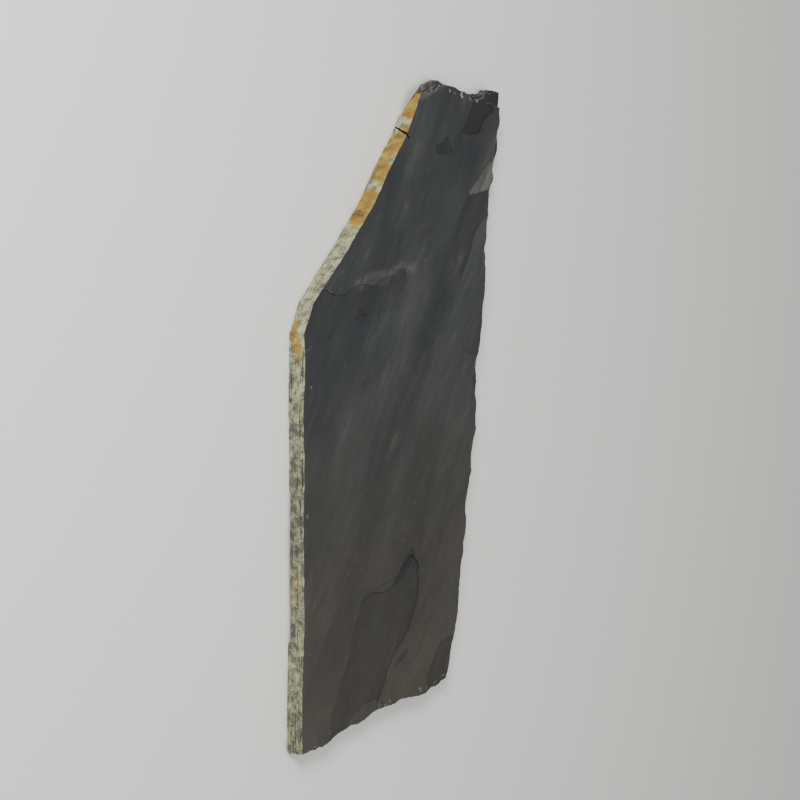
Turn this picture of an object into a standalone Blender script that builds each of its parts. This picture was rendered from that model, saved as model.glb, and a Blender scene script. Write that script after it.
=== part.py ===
"""Slab of black slate with natural cleft faces, lying on its back.

Metres, +Z up. The slab's width runs along X and its length along Y, with the
peaked end towards +Y. The origin is under the middle of its bounding box, on the
surface that the slab lies on. Run: blender --background --python part.py
"""

import math

import bmesh
import bpy
from mathutils import Vector, noise

# ---- driving dimensions -------------------------------------------------------

SLAB_WIDTH = 0.690
SLAB_LENGTH = 1.150
SLAB_THICKNESS = 0.032
SHEET_TOPS = (0.15, 0.27, 0.45, 0.56, 0.75, 0.87, 1.0)  # of the sheets that broken edges show, as shares
LEDGE_RISE = 0.0004  # height over which one sheet steps to the next
OUTLINE_STEP = 0.0135  # spacing of the points round the outline
CORNER_EASE = 2  # points on each side of a corner over which one edge's character becomes the next's
FACE_GRID = 0.050  # spacing of the points across the upper face
CUTTER_REACH = 0.020  # how far a cutter stands out of the slab

# How the sheets' outlines stray: lumps per metre and the seed of each noise.
WANDER_NOISE = (21.0, 3.7)  # shared by all the sheets
RAGGED_NOISE = (34.0, 9.1)  # each sheet's own
SPALL_NOISE = (11.0, 40.3)
RAGGED_SHIFT = 1.9  # from one sheet's noise to the next one's
SPALL_SHIFT = 5.3
RAGGED_GAIN = 0.7
SPALL_SHARES = (1.0, 0.5, 0.2, 0.0)  # of the spall, from the outermost sheet inwards
SPALL_LEAST = 0.10  # share of it that is lost where the noise is nought
SPALL_GAIN = 1.8

# The outline of a flake's scar: corners cut off, then moved by coarse and fine noise.
FLAKE_STEP = 0.0145  # spacing of its points
FLAKE_EASE = 0.2  # share of each side that goes with the corners
FLAKE_WANDER = ((0.0070, 22.0), (0.0045, 62.0))  # metres, lumps per metre
NOISE_SEED = 1795454005  # of the noise that moves them, so that every run gives the same slab

# The rise and fall of the upper face, as waves along and across the stone's grain:
# waves per metre along and across, in radians, the phase, and the share of the swell.
SWELL = 0.0013
GRAIN_LEAN = 1.15  # metres along Y for each metre along X
SWELL_WAVES = ((5.3, 0.0, 0.6, 0.5), (0.0, 11.0, 1.9, 0.35), (9.1, 17.0, 0.0, 0.3))

DRAWN_WIDTH = 690.0  # the outlines below are in millimetres on a slab of this size
DRAWN_LENGTH = 1150.0

# The five edges, anticlockwise from the bottom left corner. Each has its corners,
# how far it wanders, how far its sheets stick out past each other, and how far
# the outermost sheets are spalled back, all in millimetres.
EDGES = {
    "bottom": {
        "corners": [(0, 6), (52, 0), (160, 8), (290, 12), (405, 4), (500, 0), (520, 5)],
        "wander": 4.0, "ragged": 5.0, "spall": 14.0,
    },
    "right": {
        "corners": [(534, 42), (552, 118), (577, 234), (587, 365), (616, 470), (617, 601), (637, 727),
                    (643, 829), (653, 940), (670, 965), (673, 993), (684, 1019), (681, 1043), (690, 1076)],
        "wander": 2.5, "ragged": 4.5, "spall": 15.0,
    },
    "top": {
        "corners": [(688, 1130), (655, 1131), (629, 1125), (592, 1121), (559, 1126), (530, 1129),
                    (501, 1137), (470, 1143), (452, 1150), (422, 1139)],
        "wander": 1.5, "ragged": 3.5, "spall": 10.0,
    },
    "ochre_joint": {
        "corners": [(379, 1124), (361, 1097), (330, 1054), (265, 990), (221, 938), (120, 852), (30, 780)],
        "wander": 0.8, "ragged": 0.5, "spall": 0.0,
    },
    "pale_joint": {
        "corners": [(2, 728), (0, 603), (3, 477), (1, 362), (6, 236), (0, 124)],
        "wander": 1.5, "ragged": 1.4, "spall": 2.0,
    },
}

# Flakes lost from the upper face: outline, depth at the deep end, the direction
# in degrees towards which the floor runs out, and how fast it climbs.
FACE_FLAKES = {
    "upper_flake": {
        "outline": [(584, 1120), (655, 1114), (662, 1090), (640, 1083), (617, 1075), (613, 1057),
                    (571, 1051), (529, 1051), (548, 1069), (561, 1088)],
        "depth": 2.2, "runs_out": 70, "climb": 0.012,
    },
    "small_flake": {
        "outline": [(475, 1047), (486, 1038), (497, 1019), (466, 1015), (436, 1019), (438, 1032),
                    (460, 1036)],
        "depth": 1.3, "runs_out": 20, "climb": 0.010,
    },
    "corner_flake": {
        "outline": [(712, 1150), (712, 1092), (672, 1100), (650, 1112), (627, 1117), (619, 1150)],
        "depth": 3.6, "runs_out": 225, "climb": 0.010,
    },
    "right_edge_flake": {
        "outline": [(712, 1024), (681, 1013), (650, 1000), (630, 988), (612, 972), (596, 960), (563, 939),
                    (528, 892), (499, 831), (512, 794), (535, 779), (556, 797), (572, 826), (600, 868),
                    (630, 890), (700, 902)],
        "depth": 2.6, "runs_out": 215, "climb": 0.006,
    },
    "shoulder_step": {
        "outline": [(-20, 700), (-20, 808), (60, 800), (118, 783), (168, 800), (214, 792), (262, 806),
                    (325, 821), (338, 786), (296, 752), (236, 741), (182, 744), (120, 722), (52, 716)],
        "depth": 1.8, "runs_out": 285, "climb": 0.010,
    },
    "low_step": {
        "outline": [(197, 243), (288, 234), (331, 258), (373, 288), (402, 262), (398, 190), (352, 128),
                    (300, 96), (262, 30), (256, -20), (80, -20), (96, 60), (142, 118), (166, 186)],
        "depth": 2.4, "runs_out": 265, "climb": 0.004,
    },
    "foot_flake": {
        "outline": [(430, -20), (446, 40), (474, 76), (520, 88), (590, 96), (590, -20)],
        "depth": 4.2, "runs_out": 100, "climb": 0.016,
    },
}

# Flakes lost from the underside, drawn in the same frame, seen through the slab.
BACK_FLAKES = {
    "back_peak_terrace": {
        "outline": [(380, 1190), (402, 1118), (448, 1086), (470, 1030), (530, 1004), (566, 952), (622, 930),
                    (650, 884), (730, 872), (730, 1190)],
        "depth": 4.2, "runs_out": 245, "climb": 0.008,
    },
    "back_waist_terrace": {
        "outline": [(730, 700), (610, 686), (548, 640), (470, 648), (396, 610), (318, 618), (262, 566),
                    (206, 548), (238, 500), (330, 506), (402, 470), (476, 486), (540, 452), (730, 436)],
        "depth": 3.0, "runs_out": 175, "climb": 0.005,
    },
    "back_left_spall": {
        "outline": [(-20, 470), (28, 458), (52, 420), (94, 396), (88, 342), (118, 300), (76, 262), (60, 214),
                    (18, 206), (-20, 180)],
        "depth": 4.4, "runs_out": 10, "climb": 0.020,
    },
    "back_foot_terrace": {
        "outline": [(198, -20), (206, 44), (252, 62), (270, 110), (340, 126), (372, 96), (430, 108),
                    (476, 152), (540, 148), (620, 180), (620, -20)],
        "depth": 4.8, "runs_out": 95, "climb": 0.016,
    },
}

# The open crack across the ochre joint, widest at the upper face, in millimetres.
CRACK = {
    "mouth": (329, 1054),
    "heading": -38.0,  # degrees, along which it runs into the slab
    "reach": 26.0,
    "reach_below": 14.0,
    "width": 6.5,
    "width_below": 2.2,
    "lean": 15.0,  # how far the mouth shifts up the joint on its way to the underside
    "run_out": 12.0,  # how far its cutter stands out of the joint
    "flare": 1.4,  # times its width at the end of the cutter
}

# Corner knocked off below the end of the ochre joint, from a point on the joint
# to one on the top edge, and the worn arris beside it on the upper face.
PEAK_CHIP = {"joint_end": (349, 1080), "corner": (380, 1125), "edge_end": (430, 1140), "height": 20.0,
             "run_out": 30.0, "sunk": 4.0, "overlap": 10.0}
PEAK_ARRIS = {"ends": [(384, 1129), (452, 1150)], "width": 7.0, "narrow": 0.35, "slope": 0.8,
              "run_out": 25.0, "overlap": 4.0, "proud": 0.5}


# ---- material -----------------------------------------------------------------

def slate_material():
    """Black slate: a dull charcoal stone with a faint warm cast."""
    material = bpy.data.materials.new("black_slate")
    material.use_nodes = True
    shader = material.node_tree.nodes["Principled BSDF"]
    shader.inputs["Base Color"].default_value = (0.047, 0.048, 0.050, 1.0)
    shader.inputs["Roughness"].default_value = 0.72
    shader.inputs["Metallic"].default_value = 0.0
    return material


# ---- the outline --------------------------------------------------------------

def metres(millimetres):
    """A drawn length in metres."""
    return millimetres / 1000.0


def at(point, noise_scale, seed):
    """Where to read a noise for a point of the slab's plane."""
    return Vector((point.x * noise_scale, point.y * noise_scale, seed))


def placed(point):
    """Turn a drawn point in millimetres into metres in the slab's own plane."""
    across = point[0] / DRAWN_WIDTH * SLAB_WIDTH
    along = point[1] / DRAWN_LENGTH * SLAB_LENGTH
    return Vector((across, along))


def walk_outline():
    """Points at even steps round the outline, each with its edge's character.

    The character eases from one edge to the next over the points beside a corner.
    """
    corners = []
    for edge in EDGES.values():
        for corner in edge["corners"]:
            corners.append((placed(corner), edge))
    stations = []
    for index, (start, edge) in enumerate(corners):
        end = corners[(index + 1) % len(corners)][0]
        steps = max(1, round((end - start).length / OUTLINE_STEP))
        for step in range(steps):
            stations.append((start.lerp(end, step / steps), edge))
    return stations


def edge_value(stations, index, key):
    """One of an edge's values in metres, eased with the stations on both sides."""
    total = 0.0
    for shift in range(-CORNER_EASE, CORNER_EASE + 1):
        total += stations[(index + shift) % len(stations)][1][key]
    return metres(total / (2 * CORNER_EASE + 1))


def outward(stations, index):
    """Direction that points away from the slab at a station of the outline."""
    ahead = stations[(index + 1) % len(stations)][0]
    behind = stations[index - 1][0]
    tangent = (ahead - behind).normalized()
    return Vector((tangent.y, -tangent.x))


def spalling(sheet):
    """Share of the spall that a sheet shows: all of it outermost, none inside."""
    sheets_in = min(sheet, len(SHEET_TOPS) - 1 - sheet)
    return SPALL_SHARES[min(sheets_in, len(SPALL_SHARES) - 1)]


def sheet_outline(stations, sheet):
    """Outline of one sheet: the shared wander, its own ragged line and spalls."""
    ragged_seed = RAGGED_NOISE[1] + sheet * RAGGED_SHIFT
    spall_seed = SPALL_NOISE[1] + sheet * SPALL_SHIFT
    outline = []
    for index, (point, _) in enumerate(stations):
        shared = noise.noise(at(point, *WANDER_NOISE))
        own = noise.fractal(at(point, RAGGED_NOISE[0], ragged_seed), 0.7, 2.1, 3)
        lost = SPALL_LEAST + SPALL_GAIN * noise.noise(at(point, SPALL_NOISE[0], spall_seed))
        lost = min(1.0, max(0.0, lost))
        offset = edge_value(stations, index, "wander") * shared
        offset += edge_value(stations, index, "ragged") * RAGGED_GAIN * own
        offset -= edge_value(stations, index, "spall") * spalling(sheet) * lost
        outline.append(point + outward(stations, index) * offset)
    return outline


# ---- the body of the slab -----------------------------------------------------

def stack_sheets():
    """The slab as a stack of sheets, each with its own ragged outline."""
    stations = walk_outline()
    body = bmesh.new()
    first = sheet_outline(stations, 0)
    cap = body.faces.new([body.verts.new((point.x, point.y, 0.0)) for point in first])
    foot = 0.0
    for sheet, top_share in enumerate(SHEET_TOPS):
        outline = sheet_outline(stations, sheet)
        head = SLAB_THICKNESS * top_share
        if sheet > 0:
            cap = raise_cap(body, cap, outline, foot + LEDGE_RISE, is_base=False)
        cap = raise_cap(body, cap, outline, head, is_base=sheet == 0)
        foot = head
    bmesh.ops.recalc_face_normals(body, faces=body.faces)
    return body


def raise_cap(body, cap, outline, height, is_base):
    """Extrude the top cap to a height, where it takes the given outline."""
    result = bmesh.ops.extrude_face_region(body, geom=[cap], use_keep_orig=True)
    if not is_base:
        bmesh.ops.delete(body, geom=[cap], context="FACES_ONLY")
    new_cap = [item for item in result["geom"] if isinstance(item, bmesh.types.BMFace)][0]
    for corner, point in zip(new_cap.verts, outline):
        corner.co = (point.x, point.y, height)
    return new_cap


# ---- cutters ------------------------------------------------------------------

def prism(bottom, top):
    """Closed cutter between two outlines with as many points each."""
    cutter = bmesh.new()
    low = [cutter.verts.new(point) for point in bottom]
    high = [cutter.verts.new(point) for point in top]
    cutter.faces.new(low)
    cutter.faces.new(high)
    for index in range(len(low)):
        following = (index + 1) % len(low)
        cutter.faces.new((low[index], low[following], high[following], high[index]))
    bmesh.ops.recalc_face_normals(cutter, faces=cutter.faces)
    return cutter


def cut_corners(corners):
    """The same outline with each of its corners cut off."""
    loop = []
    for index, start in enumerate(corners):
        end = corners[(index + 1) % len(corners)]
        loop.append(start.lerp(end, FLAKE_EASE))
        loop.append(start.lerp(end, 1.0 - FLAKE_EASE))
    return loop


def ragged_loop(corners):
    """A closed outline with points at even steps, each moved a little by noise."""
    eased = cut_corners(corners)
    loop = []
    for index, start in enumerate(eased):
        end = eased[(index + 1) % len(eased)]
        steps = max(1, round((end - start).length / FLAKE_STEP))
        for step in range(steps):
            point = start.lerp(end, step / steps)
            shift = Vector((0, 0, 0))
            for reach, noise_scale in FLAKE_WANDER:
                shift += noise.noise_vector(at(point, noise_scale, 0.0)) * reach
            loop.append(point + shift.to_2d())
    return loop


def flake_cutter(flake, upper):
    """Prism with a slightly tilted floor, for a flake lost from one of the faces."""
    outline = ragged_loop([placed(point) for point in flake["outline"]])
    angle = math.radians(flake["runs_out"])
    towards = Vector((math.cos(angle), math.sin(angle)))
    deep_end = min(point.dot(towards) for point in outline)
    floor = []
    for point in outline:
        depth = metres(flake["depth"]) - flake["climb"] * (point.dot(towards) - deep_end)
        height = SLAB_THICKNESS - depth if upper else depth
        floor.append((point.x, point.y, height))
    outside = SLAB_THICKNESS + CUTTER_REACH if upper else -CUTTER_REACH
    beyond = [(point.x, point.y, outside) for point in outline]
    return prism(floor, beyond)


def crack_section(origin, inward, reach, width):
    """Outline of the crack at one level: a wedge that runs in from the joint."""
    side = Vector((-inward.y, inward.x)) * width / 2
    behind = origin - inward * metres(CRACK["run_out"])
    flared = side * CRACK["flare"]
    return [behind - flared, origin - side, origin + inward * reach, origin + side, behind + flared]


def crack_cutter():
    """Leaning wedge that opens the crack at the joint."""
    mouth = placed(CRACK["mouth"])
    angle = math.radians(CRACK["heading"])
    inward = Vector((math.cos(angle), math.sin(angle)))
    foot = mouth + Vector((-inward.y, inward.x)) * metres(CRACK["lean"])
    below = crack_section(foot, inward, metres(CRACK["reach_below"]), metres(CRACK["width_below"]))
    above = crack_section(mouth, inward, metres(CRACK["reach"]), metres(CRACK["width"]))
    low = [(point.x, point.y, -LEDGE_RISE) for point in below]
    high = [(point.x, point.y, SLAB_THICKNESS + LEDGE_RISE) for point in above]
    return prism(low, high)


def peak_chip_cutter():
    """Wedge whose sloping side takes the lower corner off the peak."""
    start = placed(PEAK_CHIP["joint_end"])
    end = placed(PEAK_CHIP["edge_end"])
    corner = placed(PEAK_CHIP["corner"])
    along = (end - start).normalized()
    out = Vector((-along.y, along.x))
    slope = metres(PEAK_CHIP["height"]) / (corner - start).dot(out)
    sunk = metres(PEAK_CHIP["sunk"])
    run_out = metres(PEAK_CHIP["run_out"])
    back = along * metres(PEAK_CHIP["overlap"])
    inner = [start - back - out * sunk / slope, end + back - out * sunk / slope]
    tip = start + along * (corner - start).dot(along) + out * run_out
    points = [(point.x, point.y, -sunk) for point in inner]
    points.append((tip.x, tip.y, slope * run_out))
    points += [(point.x, point.y, -CUTTER_REACH) for point in (*inner, tip)]
    cutter = bmesh.new()
    for point in points:
        cutter.verts.new(point)
    bmesh.ops.convex_hull(cutter, input=cutter.verts)
    bmesh.ops.recalc_face_normals(cutter, faces=cutter.faces)
    return cutter


def arris_section(point, out, width):
    """Three corners of the arris cutter where its bevel is this wide."""
    run_out = metres(PEAK_ARRIS["run_out"])
    inner = point - out * width
    outer = point + out * run_out
    drop = (width + run_out) * PEAK_ARRIS["slope"]
    return [(inner.x, inner.y, SLAB_THICKNESS + metres(PEAK_ARRIS["proud"])),
            (outer.x, outer.y, SLAB_THICKNESS - drop),
            (outer.x, outer.y, SLAB_THICKNESS + CUTTER_REACH)]


def arris_cutter():
    """Long three-sided prism that bevels the worn arris beside the peak."""
    start, end = (placed(point) for point in PEAK_ARRIS["ends"])
    along = (end - start).normalized()
    out = Vector((-along.y, along.x))
    width = metres(PEAK_ARRIS["width"])
    overlap = along * metres(PEAK_ARRIS["overlap"])
    return prism(arris_section(start - overlap, out, width * PEAK_ARRIS["narrow"]),
                 arris_section(end + overlap, out, width))


def cut(slab, cutter_mesh, name):
    """Take a cutter's shape out of the slab with an exact Boolean."""
    mesh = bpy.data.meshes.new(name)
    cutter_mesh.to_mesh(mesh)
    cutter_mesh.free()
    cutter = bpy.data.objects.new(name, mesh)
    bpy.context.scene.collection.objects.link(cutter)
    cutter.hide_render = True
    cutter.display_type = "WIRE"
    modifier = slab.modifiers.new(name, "BOOLEAN")
    modifier.operation = "DIFFERENCE"
    modifier.object = cutter


# ---- finishing the faces ------------------------------------------------------

def swell(point):
    """Rise and fall of the cleft face, longest along the stone's grain."""
    slant = math.hypot(1.0, GRAIN_LEAN)
    along = (point.x + point.y * GRAIN_LEAN) / slant
    across = (point.x * GRAIN_LEAN - point.y) / slant
    rise = 0.0
    for waves_along, waves_across, phase, share in SWELL_WAVES:
        rise += math.sin(along * waves_along + across * waves_across + phase) * share
    return SWELL * rise


def grid_upper_face(body):
    """Cut the upper face into a grid so that it can follow the swell."""
    for axis, span in ((Vector((1, 0, 0)), SLAB_WIDTH), (Vector((0, 1, 0)), SLAB_LENGTH)):
        lines = int(span / FACE_GRID)
        for line in range(1, lines + 1):
            flat = [face for face in body.faces
                    if face.normal.z > 0.98 and face.calc_center_median().z > SLAB_THICKNESS * 0.8]
            edges = {edge for face in flat for edge in face.edges}
            verts = {vert for face in flat for vert in face.verts}
            bmesh.ops.bisect_plane(body, geom=[*verts, *edges, *flat], dist=1e-5,
                                   plane_co=axis * (span * line / (lines + 1)), plane_no=axis)


def swell_slab(body):
    """Lift every point by the swell, in full at the upper face, not at all below."""
    for vert in body.verts:
        share = max(0.0, vert.co.z / SLAB_THICKNESS)
        vert.co.z += swell(vert.co) * share ** 2


def centre_slab(body):
    """Move the slab so that the origin is under the middle of its bounding box."""
    xs = [vert.co.x for vert in body.verts]
    ys = [vert.co.y for vert in body.verts]
    middle = Vector(((min(xs) + max(xs)) / 2, (min(ys) + max(ys)) / 2, 0.0))
    bmesh.ops.translate(body, verts=body.verts, vec=-middle)


def build_slab():
    """The whole slab as one closed body."""
    mesh = bpy.data.meshes.new("slab")
    slab = bpy.data.objects.new("slab", mesh)
    bpy.context.scene.collection.objects.link(slab)
    mesh.materials.append(slate_material())

    body = stack_sheets()
    body.to_mesh(mesh)
    body.free()
    for name, flake in FACE_FLAKES.items():
        cut(slab, flake_cutter(flake, upper=True), name)
    for name, flake in BACK_FLAKES.items():
        cut(slab, flake_cutter(flake, upper=False), name)
    cut(slab, crack_cutter(), "crack")
    cut(slab, peak_chip_cutter(), "peak_chip")
    cut(slab, arris_cutter(), "worn_arris")

    evaluated = slab.evaluated_get(bpy.context.evaluated_depsgraph_get())
    body = bmesh.new()
    body.from_mesh(evaluated.to_mesh())
    evaluated.to_mesh_clear()
    slab.modifiers.clear()
    bmesh.ops.remove_doubles(body, verts=body.verts, dist=2e-5)
    grid_upper_face(body)
    bmesh.ops.triangulate(body, faces=body.faces)
    centre_slab(body)
    swell_slab(body)
    body.to_mesh(mesh)
    body.free()
    return slab


def main():
    for thing in list(bpy.data.objects):
        bpy.data.objects.remove(thing, do_unlink=True)
    noise.seed_set(NOISE_SEED)
    build_slab()


main()
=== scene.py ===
# A slab of black slate with natural cleft faces, lying on its back. The packed
# solid gives its outline, its ledges and the large flakes lost from it, and this
# script gives it the fine layering, the relief and the stone's colours.
import math

import bmesh
import bpy
from mathutils import Matrix, Vector, kdtree, noise


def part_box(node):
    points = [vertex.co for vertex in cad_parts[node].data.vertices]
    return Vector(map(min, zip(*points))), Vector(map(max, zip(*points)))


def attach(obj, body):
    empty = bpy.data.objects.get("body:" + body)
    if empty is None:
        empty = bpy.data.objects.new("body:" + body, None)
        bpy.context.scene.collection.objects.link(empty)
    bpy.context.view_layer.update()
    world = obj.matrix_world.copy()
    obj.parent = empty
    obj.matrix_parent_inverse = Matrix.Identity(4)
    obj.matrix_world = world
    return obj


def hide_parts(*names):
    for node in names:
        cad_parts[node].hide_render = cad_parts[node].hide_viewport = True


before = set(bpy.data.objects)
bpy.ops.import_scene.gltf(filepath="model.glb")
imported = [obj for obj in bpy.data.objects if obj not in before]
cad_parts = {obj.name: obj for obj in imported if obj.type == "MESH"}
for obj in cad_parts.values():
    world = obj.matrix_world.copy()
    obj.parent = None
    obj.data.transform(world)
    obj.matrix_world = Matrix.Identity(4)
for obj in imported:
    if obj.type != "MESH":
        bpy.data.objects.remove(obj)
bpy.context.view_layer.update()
print("frame loaded")

# What a user would change about the slab's shape. Sizes are in metres. Marks are drawn in
# millimetres: x across the slab from its lower left corner, y up its length. A noise's
# scale is how many of its lumps lie in a metre, so 30 gives lumps 33 mm wide.
slabShape = {
    "thickness": 0.032,  # of the solid, before its face swells
    "swell": 0.0013,  # the solid's own rise and fall, which is taken off and put back
    "swellSlant": 1.15,  # how its waves run: this far in y for each 1 in x
    # its waves: radians a metre along that line and across it, start, share
    "swellWaves": [(5.3, 0.0, 0.6, 0.5), (0.0, 11.0, 1.9, 0.35), (9.1, 17.0, 0.0, 0.3)],
    "faceGrid": 0.0058,  # spacing of the cuts across the upper face
    "backGrid": 0.0085,  # across the underside
    "edgeGrid": 0.0043,  # and along the edges
    "wallTilt": 0.7,  # a face whose normal has less of Z than this is a wall
    "upperFrom": 0.6,  # how far up the thickness a point belongs to the upper face
    "seed": 4,  # of the noise that moves broken lines, so that every run gives the same stone

    "layer": 0.0019,  # mean thickness of the layers that broken edges show
    "layerUneven": 0.9,  # and the most that they differ from it, as a share
    "layerStep": 0.00008,  # half the height over which one layer steps to the next
    "ragged": 0.0021,  # how far a layer's broken edge strays
    "raggedNoise": [(42.0, 3.17, 1.0), (150.0, 5.31, 0.5)],  # scale, change for each layer, share
    "setback": 0.0055,  # how far the outermost layers have chipped back
    "setbackNoise": [(24.0, 11.0, 0.45, 1.0), (70.0, 31.0, 0.8, 0.5)],  # scale, start, change, share
    "setbackFrom": (0.02, 0.75),  # the noise where the chipping starts, and where it is full
    "setbackLayers": 4.0,  # how many layers deep the chipping goes
    "edgeReach": 0.03,  # how far in from the edge layers stray and chip
    "rimReach": 0.022,  # how far in from the edge a wall still counts as part of it
    "raggedOnJoint": 0.08,  # what is left of the straying on the smooth joints
    "setbackOnJoint": 0.12,  # and of the chipping
    "jointLumps": 0.0009,  # lumps in the crust on the joints
    "lumpScale": 75.0,
    "creaseAngle": math.radians(32),  # an edge sharper than this is shaded as one
    "wearAngles": (math.radians(28), math.radians(75)),  # where an arris starts to bruise, and is full

    "grain": math.radians(52),  # the way the stone's grain runs, from +X
    "relief": 0.0006,  # rise and fall of the cleft faces
    "reliefScale": (6.0, 15.0),  # along the grain and across it
    "fineScale": (45.0, 95.0),
    "fineShare": 0.22,
    "underShare": 0.6,  # the underside's relief against the upper face's
    "terrace": 0.0004,  # height of the faint steps that cross the upper face
    "terraceScale": (2.6, 7.5),
    "terraceLevels": [(0.16, 3.0), (-0.20, 8.0)],  # of the noise that the steps follow, and its start
    "terraceSlope": 0.006,  # how much of that noise a step takes up
    "swayNoise": [(30.0, 1.0), (95.0, 0.4), (260.0, 0.12)],  # how broken lines wander: scale, share

    # the middle of the drawing, which is the solid's origin
    "drawnMiddle": (344.9, 573.9),

    # thin flakes lost from the upper face: outline, depth, how pale or dark they left it,
    # and how far the outline wanders
    "flakes": {
        "paleLens": {"outline": [(676, 1000), (680, 955), (650, 945), (606, 940), (558, 936),
                                 (574, 948), (591, 959), (635, 990), (655, 1001)],
                     "depth": 0.0006, "pale": 0.8, "dark": 0.0, "wander": 0.003},
        "roughBreak": {"outline": [(380, 296), (386, 282), (366, 262), (344, 244), (318, 236),
                                   (296, 232), (316, 246), (336, 262), (352, 284)],
                       "depth": 0.0008, "pale": 0.0, "dark": 0.8, "wander": 0.009},
        "peakScale": {"outline": [(372, 1132), (379, 1112), (410, 1122), (447, 1128), (470, 1140),
                                  (460, 1165)],
                      "depth": 0.0005, "pale": 0.30, "dark": 0.0, "wander": 0.006},
        "darkChip": {"outline": [(170, 752), (188, 754), (197, 742), (184, 732), (168, 738)],
                     "depth": 0.0011, "pale": 0.0, "dark": 0.3, "wander": 0.004},
        "lowChip": {"outline": [(310, 84), (324, 92), (346, 101), (367, 104), (366, 96), (338, 86),
                                (315, 78)],
                    "depth": 0.0011, "pale": 0.0, "dark": 0.5, "wander": 0.003},
        "sideScale": {"outline": [(560, 640), (600, 628), (660, 640), (660, 560), (600, 548),
                                  (566, 580), (548, 612)],
                      "depth": 0.0007, "pale": 0.05, "dark": 0.0, "wander": 0.009},
        "footScale": {"outline": [(150, -20), (168, 28), (212, 48), (252, 40), (290, 16), (300, -20)],
                      "depth": 0.0008, "pale": 0.12, "dark": 0.0, "wander": 0.009},
        "leftScale": {"outline": [(-20, 372), (22, 352), (46, 318), (38, 262), (-20, 238)],
                      "depth": 0.0006, "pale": 0.0, "dark": 0.0, "wander": 0.008},
    },
    "flakeStep": 0.0006,  # width of the step round them

    # soft pale veils on the upper face: line, half-width in metres and strength
    "veils": [
        ([(150, 800), (173, 806), (224, 810), (265, 809), (285, 816), (314, 822), (353, 815),
          (374, 815)], 0.011, 0.34),
        ([(160, 794), (197, 799), (245, 796), (277, 798)], 0.008, 0.22),
        ([(518, 792), (532, 804), (545, 822), (556, 838)], 0.014, 0.30),
        ([(266, 470), (290, 496), (318, 520)], 0.016, 0.14),
        ([(590, 300), (598, 350), (604, 395)], 0.010, 0.22),
    ],
    "veilWander": 0.006,

    # hairline cracks in the upper face
    "hairlines": [
        [(331, 533), (315, 509), (290, 489), (266, 462), (252, 440)],
        [(326, 345), (331, 328), (352, 322), (376, 317)],
        [(521, 317), (538, 318), (556, 322)],
        [(345, 268), (310, 250), (284, 249), (231, 244), (184, 239)],
        [(468, 742), (452, 716), (420, 704), (402, 676)],
        # this one is the edge of a step, and the dark line along it is painted shadow
        [(680, 1012), (650, 999), (630, 988), (615, 976), (596, 961)],
        [(264, 58), (238, 52), (238, 44), (243, 31)],
    ],
    "hairlineHalf": 0.0009,  # half the groove's width, coarser than a real crack so that it shows
    "hairlineDepth": 0.0006,
    "hairlineWander": 0.004,
    "hairlineFade": 0.03,  # how far from its ends a crack reaches its full depth

    # small dark pits in the upper face: place and radius
    "pits": [(275, 487, 3), (247, 533, 2.5), (245, 465, 3), (190, 744, 2.5), (428, 590, 2.5),
             (512, 455, 2.5), (132, 560, 2.5), (455, 905, 2.5)],
    "pitDepth": 0.0007,

    # small bruises near the rim of the upper face: place, radius and whiteness
    "bruises": [(422, 1133, 5, 0.4), (485, 1131, 4, 0.6), (530, 1122, 5, 0.9), (592, 1114, 4, 0.8),
                (668, 1004, 4, 0.4), (640, 826, 4, 0.3), (610, 560, 5, 0.3), (596, 410, 4, 0.3),
                (566, 196, 5, 0.3), (412, 12, 5, 0.3), (168, 16, 4, 0.3), (300, 20, 4, 0.3),
                (505, 1128, 3, 0.5), (566, 1119, 3, 0.5), (436, 1141, 3, 0.4), (20, 640, 3, 0.3),
                (14, 420, 4, 0.3), (24, 180, 3, 0.2)],
    "bruiseDepth": 0.0005,
    "bruiseStep": 0.0008,  # width of the slope round them
    "spotWander": 0.004,  # how far the outlines of pits and bruises wander
    "spotRagged": (330.0, 1.1),  # and the scale and strength of the noise that frays them

    # the line of the two joints, from the peak down to the foot
    "jointLine": [(379, 1124), (361, 1097), (330, 1054), (265, 990), (221, 938), (120, 852),
                  (30, 780), (2, 728), (0, 603), (3, 477), (1, 362), (6, 236), (0, 124), (0, 6)],

    # their crust: how pale it is by the metres down that line; spots as metres down, height in
    # the edge, radius, paler, rustier; long runs as metres down, height, half-length, half-width
    "crust": {
        "reach": 0.0055,  # how far the crust goes in from the joint's line
        "pale": [(0.0, 0.10), (0.03, 0.16), (0.06, 0.30), (0.09, 0.14), (0.18, 0.16), (0.28, 0.10),
                 (0.31, 0.42), (0.38, 0.62), (0.46, 0.62), (0.56, 0.44), (0.62, 0.80), (1.30, 0.80)],
        "spots": [(0.046, 0.024, 0.014, -0.4, 0.9), (0.062, 0.010, 0.022, 0.45, -0.2),
                  (0.010, 0.020, 0.014, -0.3, 0.4), (0.205, 0.008, 0.014, 0.5, -0.2),
                  (0.118, 0.020, 0.012, -0.3, 0.6), (0.175, 0.024, 0.010, -0.3, 0.8),
                  (0.290, 0.021, 0.016, -0.4, 0.6), (0.245, 0.016, 0.022, -0.3, 0.35),
                  (0.150, 0.028, 0.010, 0.4, 0.0), (0.215, 0.026, 0.012, 0.35, 0.0)],
        "runs": [(0.960, 0.006, 0.022, 0.0034), (0.988, 0.011, 0.030, 0.0028),
                 (0.975, 0.020, 0.018, 0.0022), (0.548, 0.008, 0.026, 0.0050),
                 (0.575, 0.020, 0.022, 0.0044)],
        "runPaler": -0.58,
        "runRustier": 0.20,
        "spotScale": 90.0,  # of the noise that frays spots and runs
        "cloudScale": 60.0,  # and of the noise that clouds the crust
    },
}

# What the script notes on each point for the material, and on each face.
pointMarks = ("joint", "scar", "pale", "dark", "bruise", "under", "drop", "crustPale", "crustRust")
faceFlags = ("edge", "crust")


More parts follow.
